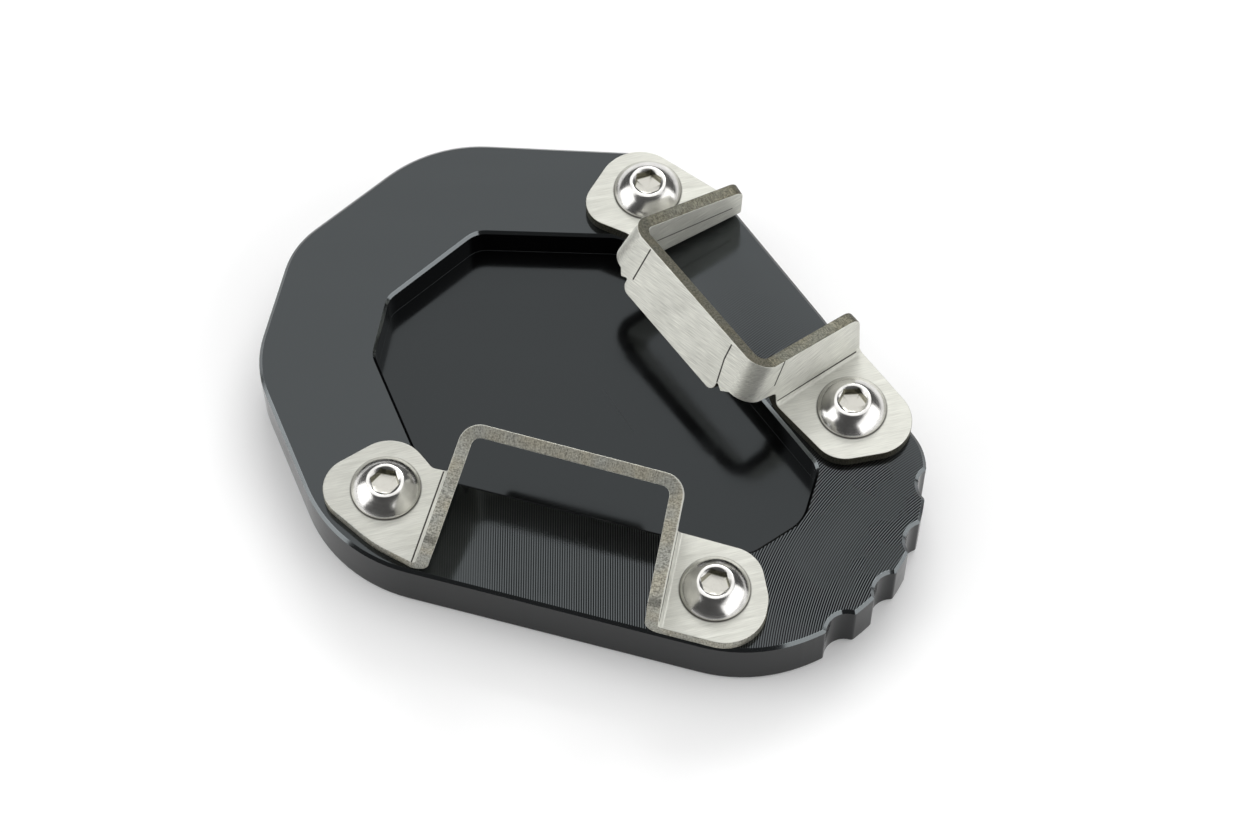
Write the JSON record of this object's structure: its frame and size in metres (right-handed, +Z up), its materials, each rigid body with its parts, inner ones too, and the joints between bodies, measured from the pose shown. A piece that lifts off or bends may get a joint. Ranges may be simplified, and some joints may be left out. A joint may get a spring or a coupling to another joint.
{
  "type": "side stand foot enlarger",
  "caption": "Thick plate with a pocket for a motorbike side stand's foot, held on by folded sheet clamps and button head screws, to spread the load on soft ground.",
  "frame": {"origin": "middle of the bounding box, at the plate's underside", "axes": "+Z up out of the pocket, +X along the plate's length towards its notched heel, +Y towards the rear clamp"},
  "size_m": [0.1025, 0.0887, 0.0249],
  "materials": {
    "black_anodised": "black anodised, satin, with fine milling lines",
    "clamp_sheet": "brushed stainless sheet with cut edges",
    "screw_steel": "polished stainless"
  },
  "bodies": {
    "root": {"base_plate": "black_anodised", "front_clamp": "clamp_sheet", "rear_clamp": "clamp_sheet", "screw_front_left": "screw_steel", "screw_front_right": "screw_steel", "screw_rear_left": "screw_steel", "screw_rear_right": "screw_steel"}
  },
  "joints": []
}
